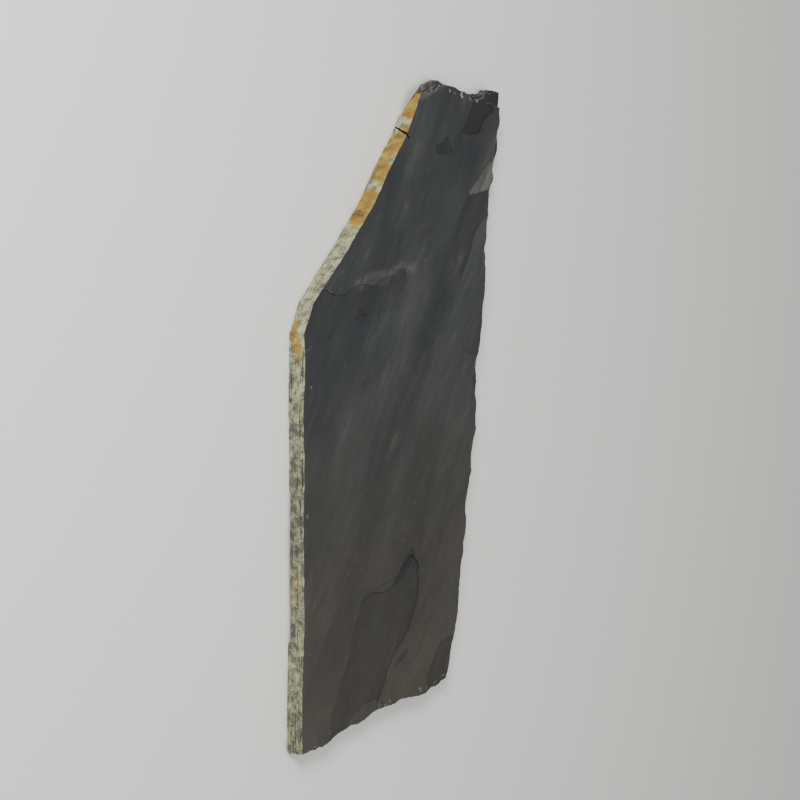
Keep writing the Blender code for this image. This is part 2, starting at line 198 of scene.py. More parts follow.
def swellOf(place):
    # the solid's formula, so that taking it off leaves its faces flat
    lean = slabShape["swellSlant"]
    slant = math.hypot(1.0, lean)
    along = (place.x + place.y * lean) / slant
    across = (place.x * lean - place.y) / slant
    wave = 0.0
    for alongTurn, acrossTurn, startTurn, share in slabShape["swellWaves"]:
        wave += math.sin(along * alongTurn + across * acrossTurn + startTurn) * share
    return slabShape["swell"] * wave


def smoothStep(low, high, value):
    share = min(1.0, max(0.0, (value - low) / (high - low)))
    return share * share * (3.0 - 2.0 * share)


def drawn(points):
    # drawn millimetres as places in the frame
    middleX, middleY = slabShape["drawnMiddle"]
    return [Vector(((x - middleX) / 1000, (y - middleY) / 1000)) for x, y in points]


def readSolid(node):
    # a merged copy of the solid with its swell taken off and its flat faces whole
    stone = bmesh.new()
    stone.from_mesh(node.data)
    bmesh.ops.remove_doubles(stone, verts=stone.verts, dist=2e-6)  # corners 2 microns apart are one
    for vert in stone.verts:
        height = vert.co.z
        for _ in range(5):  # the swell depends on the height that is sought, so it is closed in on
            height = vert.co.z - swellOf(vert.co) * (max(0.0, height) / slabShape["thickness"]) ** 2
        vert.co.z = height
    bmesh.ops.dissolve_limit(stone, angle_limit=math.radians(0.6), verts=stone.verts, edges=stone.edges)
    stone.normal_update()
    return stone


def sliceFaces(stone, faces, axis, places):
    # cuts a set of faces at each place along an axis, halving the set each time
    if not places or not faces:
        return
    middle = len(places) // 2
    verts = dict.fromkeys(vert for face in faces for vert in face.verts)
    edges = dict.fromkeys(edge for face in faces for edge in face.edges)
    result = bmesh.ops.bisect_plane(stone, geom=[*verts, *edges, *faces], dist=1e-6,
                                    plane_co=axis * places[middle], plane_no=axis)
    below, above = [], []
    for item in result["geom"]:
        if isinstance(item, bmesh.types.BMFace):
            side = below if item.calc_center_median().dot(axis) < places[middle] else above
            side.append(item)
    sliceFaces(stone, below, axis, places[:middle])
    sliceFaces(stone, above, axis, places[middle + 1:])


def evenPlaces(low, high, step):
    count = int((high - low) / step)
    return [low + (high - low) * (index + 0.5) / count for index in range(count)]


def layerHeights():
    # where one thin layer ends and the next begins, unevenly spaced
    heights = []
    height = slabShape["layer"]
    while height < slabShape["thickness"] - slabShape["layer"] * 0.5:
        heights.append(height)
        uneven = noise.noise(Vector((height * 900.0, 0.3, 4.1)))  # a new value every 1.1 mm of height
        height += slabShape["layer"] * (1.0 + slabShape["layerUneven"] * uneven)
    return heights


def isWall(face):
    return abs(face.normal.z) < slabShape["wallTilt"]


def refineStone(stone, low, high, heights):
    # an even mesh, fine enough for the relief, with a pair of cuts at each layer's end
    rows = []
    for height in heights:
        rows += [height - slabShape["layerStep"], height + slabShape["layerStep"]]
    sliceFaces(stone, [face for face in stone.faces if isWall(face)], Vector((0, 0, 1)), rows)
    stone.normal_update()
    for axis, start, end in ((0, low.x, high.x), (1, low.y, high.y)):
        direction = Vector((1 - axis, axis, 0))
        walls = [face for face in stone.faces
                 if isWall(face) and abs(face.normal[1 - axis]) > abs(face.normal[axis])]
        sliceFaces(stone, walls, direction, evenPlaces(start, end, slabShape["edgeGrid"]))
        upper = [face for face in stone.faces if face.normal.z >= slabShape["wallTilt"]]
        sliceFaces(stone, upper, direction, evenPlaces(start, end, slabShape["faceGrid"]))
        under = [face for face in stone.faces if face.normal.z <= -slabShape["wallTilt"]]
        sliceFaces(stone, under, direction, evenPlaces(start, end, slabShape["backGrid"]))
        stone.normal_update()
    print("stone refined:", len(stone.faces), "faces")


def distanceTo(point, corners, closed):
    # signed distance to a drawn outline, negative inside, or to the side of an open
    # line, for which it is None beyond the ends
    nearest = (1e9, 1.0, False)
    inside = False
    count = len(corners)
    for index in range(count if closed else count - 1):
        start, end = corners[index], corners[(index + 1) % count]
        run = end - start
        offset = point - start
        share = offset.dot(run) / run.length_squared
        beyond = (share < 0.0 and index == 0) or (share > 1.0 and index == count - 2)
        distance = (offset - run * min(1.0, max(0.0, share))).length
        if distance < nearest[0]:
            nearest = (distance, 1.0 if run.x * offset.y > run.y * offset.x else -1.0, beyond)
        if (start.y > point.y) != (end.y > point.y):
            if point.x < start.x + run.x * (point.y - start.y) / run.y:
                inside = not inside
    if closed:
        return -nearest[0] if inside else nearest[0]
    return None if nearest[2] else nearest[0] * nearest[1]


def cutContour(stone, level, value):
    # new edges along the line where a field, known at some of the points, has a value
    fresh = []
    crossed = {}
    for vert in level:
        for edge in vert.link_edges:
            other = edge.other_vert(vert)
            if other in level and (level[vert] < value) != (level[other] < value):
                crossed[edge] = True
    for edge in crossed:
        start, end = edge.verts
        share = (value - level[start]) / (level[end] - level[start])
        share = min(0.92, max(0.08, share))  # clear of the ends, so that no sliver is left
        _, between = bmesh.utils.edge_split(edge, start, share)
        level[between] = value
        fresh.append(between)
    bmesh.ops.connect_verts(stone, verts=fresh)
    return fresh


def upperPoints(stone, box=None):
    # the points of the flat upper face, inside a box where one is given
    found = []
    for face in stone.faces:
        if face.normal.z > 0.9 and face.calc_center_median().z > slabShape["thickness"] * 0.7:
            found += [vert for vert in face.verts
                      if box is None or (box[0] < vert.co.x < box[1] and box[2] < vert.co.y < box[3])]
    return dict.fromkeys(found)


def swayed(place, amount):
    # a point moved by noise, so that a drawn line reads as a broken one
    sway = Vector((0, 0, 0))
    for scale, share in slabShape["swayNoise"]:
        sway += noise.noise_vector(place * scale) * share
    return Vector((place.x + sway.x * amount, place.y + sway.y * amount))


def boxOf(corners, margin):
    xs = [corner.x for corner in corners]
    ys = [corner.y for corner in corners]
    return min(xs) - margin, max(xs) + margin, min(ys) - margin, max(ys) + margin


def shedFlakes(stone, marks):
    # thin flakes lost from the upper face, each with a crisp step round it
    step = slabShape["flakeStep"]
    for flake in slabShape["flakes"].values():
        corners = drawn(flake["outline"])
        level = {}
        for vert in upperPoints(stone, boxOf(corners, 0.02)):
            level[vert] = distanceTo(swayed(vert.co, flake["wander"]), corners, closed=True)
        rim = cutContour(stone, level, 0.0)
        foot = cutContour(stone, level, -step)
        for vert, distance in level.items():
            if distance < -step + 0.0001:
                vert[marks["drop"]] += flake["depth"]
            if distance < 0.0:
                vert[marks["pale"]] = max(vert[marks["pale"]], flake["pale"])
                vert[marks["dark"]] = max(vert[marks["dark"]], flake["dark"])
        for vert in (*rim, *foot):
            # the step is painted dark here and there, in stretches of about 18 mm: painted shadow under the
            # step, with dirt in it
            broken = smoothStep(-0.2, 0.3, noise.noise(vert.co * 55.0))
            vert[marks["dark"]] = max(vert[marks["dark"]], 0.35 * broken)


def spreadVeils(stone, marks):
    # soft pale scuffs, no step: full along their line and fading away from it
    for line, width, strength in slabShape["veils"]:
        corners = drawn(line)
        for vert in upperPoints(stone, boxOf(corners, 0.04)):
            flat = swayed(vert.co, slabShape["veilWander"])
            away = min(abs(distanceTo(flat, [start, end], closed=False) or 1.0)
                       for start, end in zip(corners, corners[1:]))
            ends = min((flat - corners[0]).length, (flat - corners[-1]).length)
            share = (1.0 - smoothStep(0.15, 1.0, away / width)) * smoothStep(-0.2, 1.0, ends / (2 * width))
            vert[marks["pale"]] = max(vert[marks["pale"]], strength * share)


def refineSpot(stone, spot):
    # more points round a small spot, so that it gets a broken outline and not four corners
    near = upperPoints(stone, boxOf([spot], 0.009))  # 9 mm on each side of its middle
    edges = dict.fromkeys(edge for vert in near for edge in vert.link_edges if edge.other_vert(vert) in near)
    bmesh.ops.subdivide_edges(stone, edges=list(edges), cuts=2, use_grid_fill=True)


def beyondSpot(place, spot, radius):
    # how far a point is outside a small spot with a ragged outline
    scale, strength = slabShape["spotRagged"]
    ragged = 1.0 + strength * noise.noise(place * scale)
    return (swayed(place, slabShape["spotWander"]) - spot).length - radius / 1000 * ragged


def sinkPits(stone, marks):
    # small dark pits in the upper face
    for x, y, radius in slabShape["pits"]:
        spot = drawn([(x, y)])[0]
        refineSpot(stone, spot)
        level = {}
        for vert in upperPoints(stone, boxOf([spot], 0.014)):
            level[vert] = beyondSpot(vert.co, spot, radius)
        cutContour(stone, level, 0.0)
        for vert, distance in level.items():
            if distance < -0.0001:
                vert[marks["drop"]] += slabShape["pitDepth"]
                vert[marks["dark"]] = 0.9


def chipRim(stone, marks):
    # small white bruises near the rim of the upper face
    step = slabShape["bruiseStep"]
    for x, y, radius, whiteness in slabShape["bruises"]:
        spot = drawn([(x, y)])[0]
        refineSpot(stone, spot)
        level = {}
        for vert in upperPoints(stone, boxOf([spot], 0.016)):
            level[vert] = beyondSpot(vert.co, spot, radius)
        cutContour(stone, level, 0.0)
        cutContour(stone, level, -step)
        for vert, distance in level.items():
            if distance < -step + 0.0001:
                vert[marks["drop"]] += slabShape["bruiseDepth"]
                vert[marks["bruise"]] = whiteness


def openHairlines(stone, marks):
    # fine cracks in the upper face: a narrow groove that fades out at its ends, with painted shade darkening
    # its middle line
    half = slabShape["hairlineHalf"]
    for line in slabShape["hairlines"]:
        corners = drawn(line)
        level = {}
        for vert in upperPoints(stone, boxOf(corners, 0.01)):
            distance = distanceTo(swayed(vert.co, slabShape["hairlineWander"]), corners, closed=False)
            if distance is not None and abs(distance) < 0.012:  # two rows of points on each side
                level[vert] = distance
        middle = []
        for side in (-half, 0.0, half):
            fresh = cutContour(stone, level, side)
            middle = fresh if side == 0.0 else middle
        for vert in middle:
            flat = vert.co.to_2d()
            end = min((flat - corners[0]).length, (flat - corners[-1]).length)
            depth = smoothStep(0.0, slabShape["hairlineFade"], end)
            vert[marks["drop"]] += slabShape["hairlineDepth"] * depth
            # painted shade along the crack's middle
            vert[marks["dark"]] = max(vert[marks["dark"]], depth)


def addTerraces(stone, marks):
    # faint steps that follow the grain, where thin sheets of the cleft face end
    grain = Vector((math.cos(slabShape["grain"]), math.sin(slabShape["grain"])))
    longScale, crossScale = slabShape["terraceScale"]
    slope = slabShape["terraceSlope"]
    for value, start in slabShape["terraceLevels"]:
        level = {}
        for vert in upperPoints(stone):
            along = vert.co.x * grain.x + vert.co.y * grain.y
            across = vert.co.y * grain.x - vert.co.x * grain.y
            spot = Vector((along * longScale, across * crossScale, start))
            level[vert] = noise.fractal(spot, 1.0, 2.3, 5)
        cutContour(stone, level, value)
        cutContour(stone, level, value + slope)
        for vert, height in level.items():
            if height > value + slope / 2:
                vert[marks["drop"]] += slabShape["terrace"]


def alongJoint(place, line):
    # distance from the joints' line, how far down it the nearest point is, and the way
    # the joint faces there
    nearest, down, facing = 1e9, 0.0, None
    walked = 0.0
    for start, end in zip(line, line[1:]):
        run = end - start
        offset = place.to_2d() - start
        share = min(1.0, max(0.0, offset.dot(run) / run.length_squared))
        distance = (offset - run * share).length
        if distance < nearest:
            nearest, down = distance, walked + run.length * share
            facing = Vector((run.y, -run.x, 0.0)).normalized()
        walked += run.length
    return nearest, down, facing


def treeOf(walls):
    # a search tree over the middles of wall faces
    tree = kdtree.KDTree(len(walls))
    for index, (centre, _) in enumerate(walls):
        tree.insert(centre, index)
    tree.balance()
    return tree


def edgeFinder(stone):
    # finds how far a place is from the slab's outer edge, and the way the edge faces
    walls, halfway = [], []
    for face in stone.faces:
        if abs(face.normal.z) < 0.35 and face.calc_area() > 1e-7:
            centre = face.calc_center_median()
            share = centre.z / slabShape["thickness"]
            wall = (centre.to_2d().to_3d(), face.normal.to_2d().to_3d())
            walls.append(wall)
            if 0.35 < share < 0.65:
                halfway.append(wall)
    outline = treeOf(halfway)
    walls = [wall for wall in walls if outline.find(wall[0])[2] < slabShape["rimReach"]]
    tree = treeOf(walls)

    def find(place):
        found = tree.find_n(place.to_2d().to_3d(), 8)
        facing = Vector((0, 0, 0))
        for _, index, _ in found:
            facing += walls[index][1]
        facing = facing.normalized() if facing.length > 0.1 else Vector((1, 0, 0))
        return found[0][2], facing

    return find, outline


def layerOf(height, heights):
    # which thin layer a height lies in, counted from the underside
    return sum(1 for boundary in heights if boundary < height)


def breakEdge(place, layer, top, distance, facing, joint):
    # sideways shift of a point: each layer's broken edge strays and the outer ones chip back
    broken = 1.0 - joint
    near = max(0.0, 1.0 - distance / slabShape["edgeReach"])
    stray = Vector((0, 0, 0))
    for scale, change, share in slabShape["raggedNoise"]:
        stray += noise.noise_vector(Vector((place.x * scale, place.y * scale, layer * change))) * share
    least = slabShape["raggedOnJoint"]
    strayed = Vector((stray.x, stray.y, 0.0)) * slabShape["ragged"] * (least + (1.0 - least) * broken) * near
    chip = 0.0
    for scale, start, change, share in slabShape["setbackNoise"]:
        chip += share * noise.noise(Vector((place.x * scale, place.y * scale, start + layer * change)))
    depthIn = min(layer, top - layer)
    lost = smoothStep(*slabShape["setbackFrom"], chip) * max(0.0, 1.0 - depthIn / slabShape["setbackLayers"])
    least = slabShape["setbackOnJoint"]
    return strayed - facing * slabShape["setback"] * (least + (1.0 - least) * broken) * lost * near ** 2


def crustOf(place, down):
    # how pale and how rusty the crust on the joint is, this far down it
    crust = slabShape["crust"]
    pale = 0.0
    for (start, low), (end, high) in zip(crust["pale"], crust["pale"][1:]):
        if start <= down <= end:
            pale = low + (high - low) * (down - start) / (end - start)
    rust = 0.0
    ragged = noise.fractal(place * crust["spotScale"], 0.7, 2.2, 4)
    for spotDown, spotHeight, radius, paler, rustier in crust["spots"]:
        away = math.hypot(down - spotDown, place.z - spotHeight) / radius
        share = 1.0 - smoothStep(0.35, 1.15, away + 0.45 * ragged)
        pale += paler * share
        rust += rustier * share
    for runDown, runHeight, length, width in crust["runs"]:
        away = math.hypot((down - runDown) / length, (place.z - runHeight) / width)
        share = 1.0 - smoothStep(0.3, 1.4, away + 0.6 * ragged)
        pale += crust["runPaler"] * share
        rust += crust["runRustier"] * share
    # paler towards the back and along the arris with the upper face
    thickness = slabShape["thickness"]
    pale += 0.30 * (1.0 - smoothStep(0.0, 0.36, place.z / thickness + 0.25 * ragged))
    pale += 0.20 * smoothStep(0.88, 1.0, place.z / thickness + 0.10 * ragged)
    pale += 0.12 * noise.fractal(place * crust["cloudScale"] + Vector((7.0, 3.0, 5.0)), 0.7, 2.3, 4)
    return pale, max(0.0, rust)


def shapeStone(stone, heights):
    # moves every point: ragged layers at the edges, fine relief on the faces
    marks = {name: stone.verts.layers.float.new(name) for name in pointMarks}
    edgeFlag = stone.faces.layers.float.new("edge")
    find, outline = edgeFinder(stone)
    crustFlag = stone.faces.layers.float.new("crust")
    joints = drawn(slabShape["jointLine"])
    crustReach = slabShape["crust"]["reach"]
    for face in stone.faces:
        if isWall(face):
            centre = face.calc_center_median()
            inset = outline.find(centre.to_2d().to_3d())[2]
            offJoint, _, jointFacing = alongJoint(centre, joints)
            onJoint = offJoint < crustReach * 1.3 and face.normal.dot(jointFacing) > 0.55
            face[edgeFlag] = 1.0 if inset < slabShape["rimReach"] else 0.0
            face[crustFlag] = 1.0 if onJoint else 0.0
    for edge in stone.edges:
        edge.smooth = len({isWall(face) for face in edge.link_faces}) == 1
    shedFlakes(stone, marks)
    spreadVeils(stone, marks)
    sinkPits(stone, marks)
    chipRim(stone, marks)
    openHairlines(stone, marks)
    addTerraces(stone, marks)

    thickness = slabShape["thickness"]
    upperFrom = thickness * slabShape["upperFrom"]
    grain = Vector((math.cos(slabShape["grain"]), math.sin(slabShape["grain"]), 0))
    acrossGrain = Vector((-grain.y, grain.x, 0))
    reliefScale, fineScale = slabShape["reliefScale"], slabShape["fineScale"]
    top = len(heights)
    moves = []
    for vert in stone.verts:
        place = vert.co.copy()
        distance, facing = find(place)
        offJoint, down, _ = alongJoint(place, joints)
        joint = 1.0 - smoothStep(0.7, 1.3, offJoint / crustReach)
        onFace = not any(isWall(face) for face in vert.link_faces)
        upper = place.z > upperFrom
        layer = layerOf(place.z, heights)
        move = breakEdge(place, layer, top, distance, facing, joint)
        if not onFace:
            lump = noise.fractal(place * slabShape["lumpScale"], 0.8, 2.1, 4)
            move += facing * slabShape["jointLumps"] * lump * joint
        if onFace or upper:
            along = place.dot(grain)
            across = place.dot(acrossGrain)
            start = 2.0 if upper else 17.0
            spot = Vector((along * reliefScale[0], across * reliefScale[1], start))
            relief = noise.fractal(spot, 0.9, 2.0, 4)
            spot = Vector((along * fineScale[0], across * fineScale[1], start + 9.0))
            fine = noise.fractal(spot, 0.8, 2.2, 3)
            rise = slabShape["relief"] * (relief + slabShape["fineShare"] * fine)
            if upper:
                share = smoothStep(upperFrom, thickness, place.z)
                move.z += rise * share - vert[marks["drop"]]
            else:
                move.z += abs(rise) * slabShape["underShare"] * smoothStep(0.0, 0.02, distance)
        move.z += swellOf(place) * max(0.0, place.z / thickness) ** 2
        moves.append(move)
        # fresh stone where a large flake has come off, darkest near the peak
        depth = thickness - place.z if upper else place.z
        peakward = smoothStep(0.3, 0.42, place.y)
        vert[marks["scar"]] = smoothStep(0.0003, 0.0012, depth) * (0.45 + 0.55 * peakward)
        vert[marks["joint"]] = joint
        vert[marks["under"]] = 0.0 if upper else 1.0
        if joint > 0.0:
            vert[marks["crustPale"]], vert[marks["crustRust"]] = crustOf(place, down)
    for vert, move in zip(stone.verts, moves):
        vert.co += move
    bmesh.ops.triangulate(stone, faces=stone.faces, quad_method="BEAUTY", ngon_method="BEAUTY")
    stone.normal_update()
    print("stone shaped:", len(stone.faces), "triangles")


def markArrises(stone):
    # how sharp and how exposed each point of the edges is, for the pale bruised arrises
    wear = stone.verts.layers.float.new("wear")
    edgeFlag = stone.faces.layers.float["edge"]
    for edge in stone.edges:
        if len(edge.link_faces) == 2:
            angle = edge.calc_face_angle(0.0)
            if angle > slabShape["creaseAngle"]:
                edge.smooth = False
            if edge.is_convex and any(face[edgeFlag] > 0.5 for face in edge.link_faces):
                sharp = smoothStep(*slabShape["wearAngles"], angle)
                for vert in edge.verts:
                    vert[wear] = max(vert[wear], sharp)


def makeSlab():
    # the whole piece: the solid with its edges in layers and its faces in relief
    noise.seed_set(slabShape["seed"])
    heights = layerHeights()
    low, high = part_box("slab")
    stone = readSolid(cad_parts["slab"])
    refineStone(stone, low, high, heights)
    shapeStone(stone, heights)
    markArrises(stone)
    mesh = bpy.data.meshes.new("slateSlab")
    stone.to_mesh(mesh)
    stone.free()
    mesh.shade_smooth()
    slab = bpy.data.objects.new("slateSlab", mesh)
    bpy.context.scene.collection.objects.link(slab)
    return slab


def toLinear(hexColour):
    # an sRGB hex value as the linear colour that shaders use
    parts = [int(hexColour[start:start + 2], 16) / 255 for start in (1, 3, 5)]
    linear = [part / 12.92 if part <= 0.04045 else ((part + 0.055) / 1.055) ** 2.4 for part in parts]
    return (*linear, 1.0)


def add(tree, kind, values=None, **settings):
    # one node with its settings, and each input's value, hex colour or source
    node = tree.nodes.new(kind)
    for name, value in settings.items():
        setattr(node, name, value)
    for key, value in (values or {}).items():
        sockets = [item for item in node.inputs if item.enabled and item.name == key]
        socket = node.inputs[key] if isinstance(key, int) else sockets[0]
        if isinstance(value, bpy.types.Node):
            value = next(item for item in value.outputs if item.enabled)
        if isinstance(value, bpy.types.NodeSocket):
            tree.links.new(value, socket)
        else:
            socket.default_value = toLinear(value) if isinstance(value, str) else value
    return node


# What a user would change about the slate's looks: its colours, and the real size of each
# pattern in metres.
slateLook = {
    "dark": "#26282A", "light": "#3A3B3B",  # the clouded charcoal of the cleft faces
    "cloudSize": 0.11,  # clouds of 110 mm, drawn out along the grain
    "streak": "#4C4E4C", "streakWidth": 0.013,  # faint pale lines along the grain, 13 mm wide
    "cloudStretch": 3.0, "streakStretch": 8.0,  # how far both are drawn out
    "dustAndWarmShade": "#4F483A",  # warm brown low on the slab: partly dust, partly painted warm shade
    "fresh": "#1E1F21",  # where flakes have come off
    "scuff": "#6C6C64", "scuffSize": 0.035,  # pale scuffs and veils, in patches of 35 mm
    "core": "#1F2021", "sheet": "#474949", "arris": "#8B8D88",  # layers and arrises of broken edges
    "sheetLength": 1 / 26, "sheetThickness": 1 / 620,  # layers 38 mm long and 1.6 mm thick
    "rust": "#664A2B", "rustSize": 0.05, "driftSize": 0.30,  # stains of 50 mm in drifts of 300 mm
    "gold": "#9B8636", "tan": "#655230", "orange": "#96651F",  # the crust on the upper joint
    "cream": "#A2A27E", "grey": "#43443F", "pit": "#2E2A23",  # and on the lower one
    "blotchSize": 0.016,  # blotches of 16 mm in the crust
    "gritSize": 0.0016,  # real grit is half as large, and too fine to show
    "cleftSize": 1 / 170,  # ripples of 6 mm in the cleft faces, which real slate has at 2 to 3 mm
    "bumpDepth": 0.0011,  # of those ripples, the layers and the crust's lumps
    "faceRoughness": (0.72, 0.58), "edgeRoughness": 0.85,  # from the dark clouds to the light ones
    "specular": 0.35,  # a little under the usual 0.5, for a dusty stone
}


def slateMaterial():
    # black slate as it comes from the quarry: dull charcoal where it has split along its
    # cleavage, darker where flakes have come off, layered where it is broken across, and
    # crusted with ochre and pale minerals where old joints ran through the rock
    look = slateLook
    material = bpy.data.materials.new("blackSlate")
    material.use_nodes = True
    tree = material.node_tree
    place = add(tree, "ShaderNodeTexCoord").outputs["Object"]
    mark = {}
    for name in (*pointMarks, *faceFlags, "wear"):
        mark[name] = add(tree, "ShaderNodeAttribute", attribute_name=name).outputs["Fac"]

    # patterns: broad and narrow ones along the grain, even ones, and one in layers
    turn = (0.0, 0.0, slabShape["grain"])
    broad = add(tree, "ShaderNodeMapping", {"Vector": place, "Rotation": turn,
                                            "Scale": (look["cloudStretch"], 1.0, 1.0)},
                vector_type="TEXTURE")
    narrow = add(tree, "ShaderNodeMapping", {"Vector": place, "Rotation": turn,
                                             "Scale": (look["streakStretch"], 1.0, 1.0)},
                 vector_type="TEXTURE")
    perLength, perThickness = 1 / look["sheetLength"], 1 / look["sheetThickness"]
    flat = add(tree, "ShaderNodeMapping", {"Vector": place, "Scale": (perLength, perLength, perThickness)})
    clouds = add(tree, "ShaderNodeTexNoise", {"Vector": broad, "Scale": 1 / look["cloudSize"],
                                              "Detail": 7.0, "Roughness": 0.62})
    streaks = add(tree, "ShaderNodeTexNoise", {"Vector": narrow, "Scale": 1 / look["streakWidth"],
                                               "Detail": 5.0, "Roughness": 0.6})
    cleft = add(tree, "ShaderNodeTexNoise", {"Vector": broad, "Scale": 1 / look["cleftSize"],
                                             "Detail": 6.0, "Roughness": 0.65})
    scuffs = add(tree, "ShaderNodeTexNoise", {"Vector": place, "Scale": 1 / look["scuffSize"],
                                              "Detail": 9.0, "Roughness": 0.72})
    stains = add(tree, "ShaderNodeTexNoise", {"Vector": place, "Scale": 1 / look["rustSize"],
                                              "Detail": 6.0, "Roughness": 0.65})
    drift = add(tree, "ShaderNodeTexNoise", {"Vector": broad, "Scale": 1 / look["driftSize"],
                                             "Detail": 7.0, "Roughness": 0.6})
    blotches = add(tree, "ShaderNodeTexNoise", {"Vector": place, "Scale": 1 / look["blotchSize"],
                                                "Detail": 8.0, "Roughness": 0.66})
    grit = add(tree, "ShaderNodeTexNoise", {"Vector": place, "Scale": 1 / look["gritSize"],
                                            "Detail": 3.0, "Roughness": 0.6})
    layers = add(tree, "ShaderNodeTexNoise", {"Vector": flat, "Scale": 1.0, "Detail": 5.0,
                                              "Roughness": 0.6})

    # the cleft faces: charcoal clouds, pale streaks, dust and painted warm shade low down, and a few scuffs
    share = add(tree, "ShaderNodeMapRange", {"Value": clouds, "From Min": 0.36, "From Max": 0.66})
    face = add(tree, "ShaderNodeMix", {"Factor": share, "A": look["dark"], "B": look["light"]},
               data_type="RGBA")
    share = add(tree, "ShaderNodeMath", {0: streaks, 1: clouds}, operation="MULTIPLY")
    share = add(tree, "ShaderNodeMapRange", {"Value": share, "From Min": 0.28, "From Max": 0.46,
                                             "To Max": 0.35})
    face = add(tree, "ShaderNodeMix", {"Factor": share, "A": face, "B": look["streak"]},
               data_type="RGBA")
    height = add(tree, "ShaderNodeSeparateXYZ", {"Vector": place}).outputs["Y"]
    # the lower on the slab, the more warm brown: dust, and painted warm shade
    low = add(tree, "ShaderNodeMapRange", {"Value": height, "From Min": 0.1, "From Max": -0.55,
                                           "To Max": 0.9})
    share = add(tree, "ShaderNodeMath", {0: low, 1: stains}, operation="MULTIPLY")
    face = add(tree, "ShaderNodeMix", {"Factor": share, "A": face, "B": look["dustAndWarmShade"]}, data_type="RGBA")
    share = add(tree, "ShaderNodeMapRange", {"Value": scuffs, "From Min": 0.62, "From Max": 0.80,
                                             "To Max": 0.4})
    face = add(tree, "ShaderNodeMix", {"Factor": share, "A": face, "B": look["scuff"]}, data_type="RGBA")

    # fresh stone where flakes have come off, rust on the underside, and pale veils
    share = add(tree, "ShaderNodeMath", {0: mark["scar"], 1: 0.8}, operation="MULTIPLY")
    face = add(tree, "ShaderNodeMix", {"Factor": share, "A": face, "B": look["fresh"]}, data_type="RGBA")
    share = add(tree, "ShaderNodeMapRange", {"Value": drift, "From Min": 0.46, "From Max": 0.66,
                                             "To Max": 0.55})
    share = add(tree, "ShaderNodeMath", {0: share, 1: stains}, operation="MULTIPLY")
    share = add(tree, "ShaderNodeMath", {0: share, 1: mark["under"]}, operation="MULTIPLY")
    face = add(tree, "ShaderNodeMix", {"Factor": share, "A": face, "B": look["rust"]}, data_type="RGBA")
    share = add(tree, "ShaderNodeMath", {0: scuffs, 1: streaks}, operation="ADD")
    share = add(tree, "ShaderNodeMapRange", {"Value": share, "From Min": 0.80, "From Max": 1.16,
                                             "To Min": 0.35, "To Max": 1.0})
    share = add(tree, "ShaderNodeMath", {0: share, 1: mark["pale"]}, operation="MULTIPLY")
    face = add(tree, "ShaderNodeMix", {"Factor": share, "A": face, "B": look["scuff"]}, data_type="RGBA")

    # the broken edges: dark and light layers, with rust between them
    share = add(tree, "ShaderNodeMapRange", {"Value": layers, "From Min": 0.38, "From Max": 0.66})
    broken = add(tree, "ShaderNodeMix", {"Factor": share, "A": look["core"], "B": look["sheet"]},
                 data_type="RGBA")
    share = add(tree, "ShaderNodeMapRange", {"Value": stains, "From Min": 0.55, "From Max": 0.68,
                                             "To Max": 0.75})
    broken = add(tree, "ShaderNodeMix", {"Factor": share, "A": broken, "B": look["rust"]},
                 data_type="RGBA")

    # the crust on the upper joint: gold over tan, orange where it is rusty
    mixing = add(tree, "ShaderNodeMath", {0: blotches, 1: 0.50, 2: 0.0}, operation="MULTIPLY_ADD")
    mixing = add(tree, "ShaderNodeMath", {0: scuffs, 1: 0.30, 2: mixing}, operation="MULTIPLY_ADD")
    mixing = add(tree, "ShaderNodeMath", {0: grit, 1: 0.20, 2: mixing}, operation="MULTIPLY_ADD")
    share = add(tree, "ShaderNodeMapRange", {"Value": mixing, "From Min": 0.42, "From Max": 0.57})
    golden = add(tree, "ShaderNodeMix", {"Factor": share, "A": look["tan"], "B": look["gold"]},
                 data_type="RGBA")
    golden = add(tree, "ShaderNodeMix", {"Factor": mark["crustRust"], "A": golden, "B": look["orange"]},
                 data_type="RGBA")

    # the crust on the lower joint: pale fibres over grey, darker lower down with painted shade
    fibres = add(tree, "ShaderNodeMath", {0: layers, 1: 0.26, 2: 0.0}, operation="MULTIPLY_ADD")
    fibres = add(tree, "ShaderNodeMath", {0: blotches, 1: 0.44, 2: fibres}, operation="MULTIPLY_ADD")
    fibres = add(tree, "ShaderNodeMath", {0: grit, 1: 0.30, 2: fibres}, operation="MULTIPLY_ADD")
    # fewer pale fibres towards the foot: painted shade
    paintedShadeLow = add(tree, "ShaderNodeMapRange", {"Value": height, "From Min": 0.22, "From Max": -0.02,
                                             "To Min": 0.03, "To Max": 0.0})
    fibres = add(tree, "ShaderNodeMath", {0: fibres, 1: paintedShadeLow}, operation="ADD")
    share = add(tree, "ShaderNodeMapRange", {"Value": fibres, "From Min": 0.46, "From Max": 0.58})
    ashen = add(tree, "ShaderNodeMix", {"Factor": share, "A": look["grey"], "B": look["cream"]},
                data_type="RGBA")

    # the one gives way to the other in ragged patches, and both have dark pits
    share = add(tree, "ShaderNodeMath", {0: mixing, 1: 1.5, 2: mark["crustPale"]},
                operation="MULTIPLY_ADD")
    share = add(tree, "ShaderNodeMapRange", {"Value": share, "From Min": 1.06, "From Max": 1.26})
    crust = add(tree, "ShaderNodeMix", {"Factor": share, "A": golden, "B": ashen}, data_type="RGBA")
    share = add(tree, "ShaderNodeMapRange", {"Value": scuffs, "From Min": 0.42, "From Max": 0.32,
                                             "To Max": 0.8})
    crust = add(tree, "ShaderNodeMix", {"Factor": share, "A": crust, "B": look["pit"]}, data_type="RGBA")
